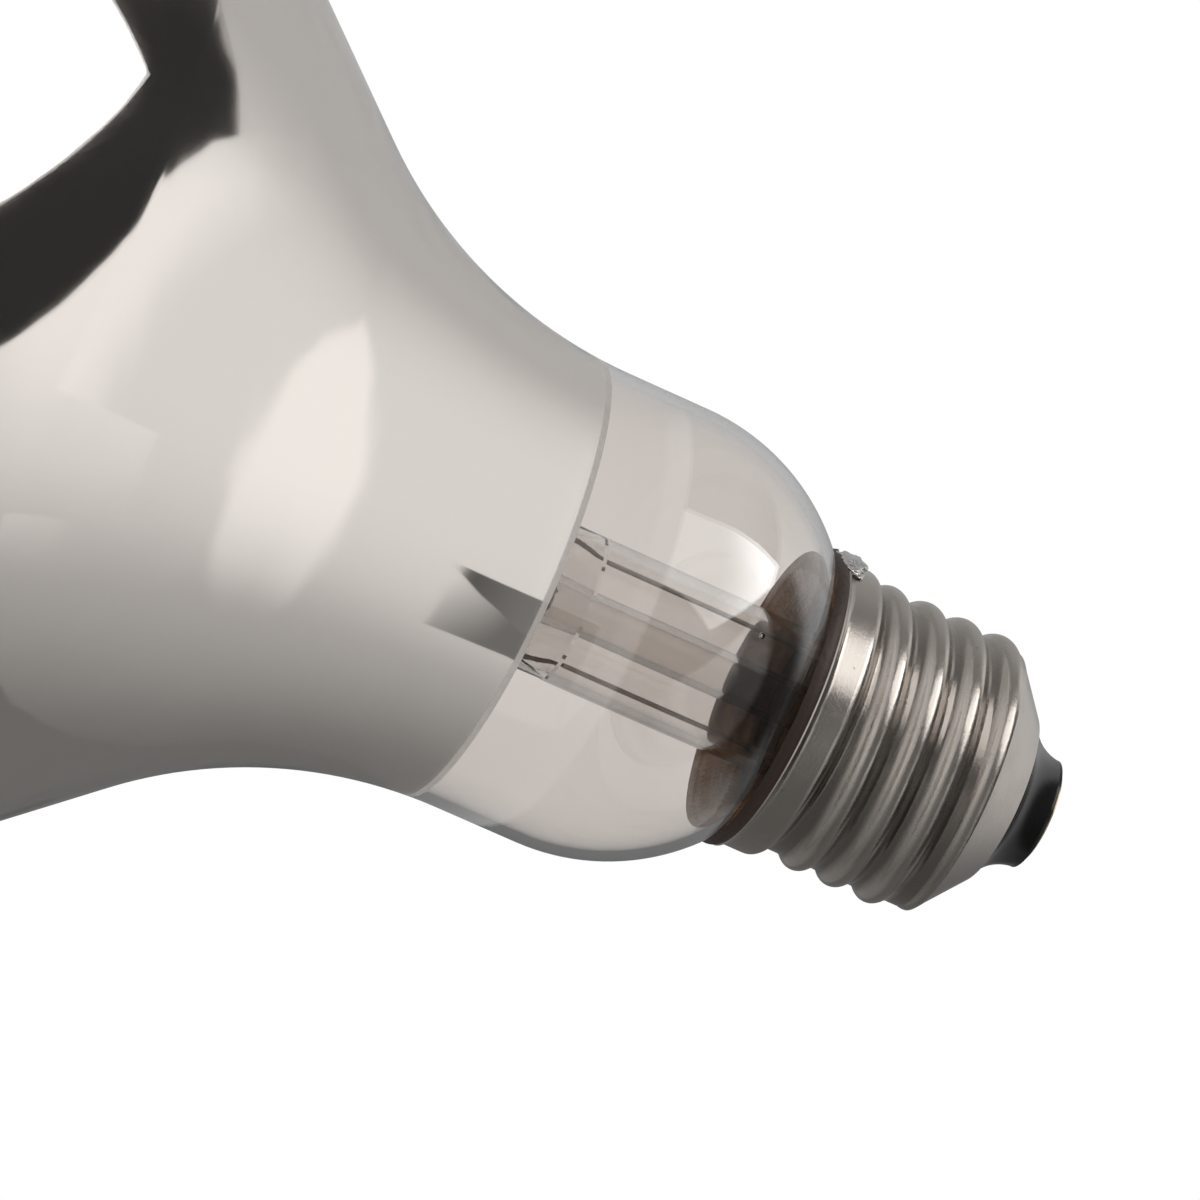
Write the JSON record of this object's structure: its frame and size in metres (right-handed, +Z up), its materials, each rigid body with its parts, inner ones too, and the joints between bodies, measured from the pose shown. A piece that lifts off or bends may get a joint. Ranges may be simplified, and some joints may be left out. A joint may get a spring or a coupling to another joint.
{
  "type": "heat lamp bulb",
  "caption": "Infrared reflector lamp: wide silvered glass bulb with a clear neck, inner stem and ring filament, on a nickel plated screw base with a black glass insulator.",
  "frame": {"origin": "middle of the domed face, which the lamp stands on", "axes": "+Z up the lamp's axis from the face to the end contact; -Y is the side the picture shows"},
  "size_m": [0.127, 0.127, 0.165],
  "materials": {
    "bulb_glass": "clear blown glass",
    "stem_glass": "clear drawn tube",
    "mirror_film": "evaporated aluminium film",
    "tungsten": "drawn tungsten, coiled",
    "nickel_plate": "bright nickel plate on rolled sheet",
    "black_glass": "cast black glass",
    "eyelet_brass": "pressed brass",
    "solder": "cold solder",
    "basing_cement": "baked resin cement",
    "seal_alloy": "copper clad alloy",
    "nickel_wire": "drawn nickel wire",
    "copper_wire": "dark copper wire",
    "molybdenum_wire": "drawn molybdenum wire"
  },
  "bodies": {
    "root": {"basing_cement": "basing_cement", "button_rod": "stem_glass", "contact_eyelet": "eyelet_brass", "contact_lead": "copper_wire", "contact_solder": "solder", "exhaust_tube": "stem_glass", "filament": "tungsten", "glass_envelope": "bulb_glass", "inner_lead_left": "nickel_wire", "inner_lead_right": "nickel_wire", "insulator": "black_glass", "mirror_coating": "mirror_film", "screw_shell": "nickel_plate", "seal_wire_left": "seal_alloy", "seal_wire_right": "seal_alloy", "side_lead": "copper_wire", "side_solder": "solder", "stem_glass": "stem_glass", "support_wire_1": "molybdenum_wire", "support_wire_2": "molybdenum_wire", "support_wire_3": "molybdenum_wire", "support_wire_4": "molybdenum_wire"}
  },
  "joints": []
}
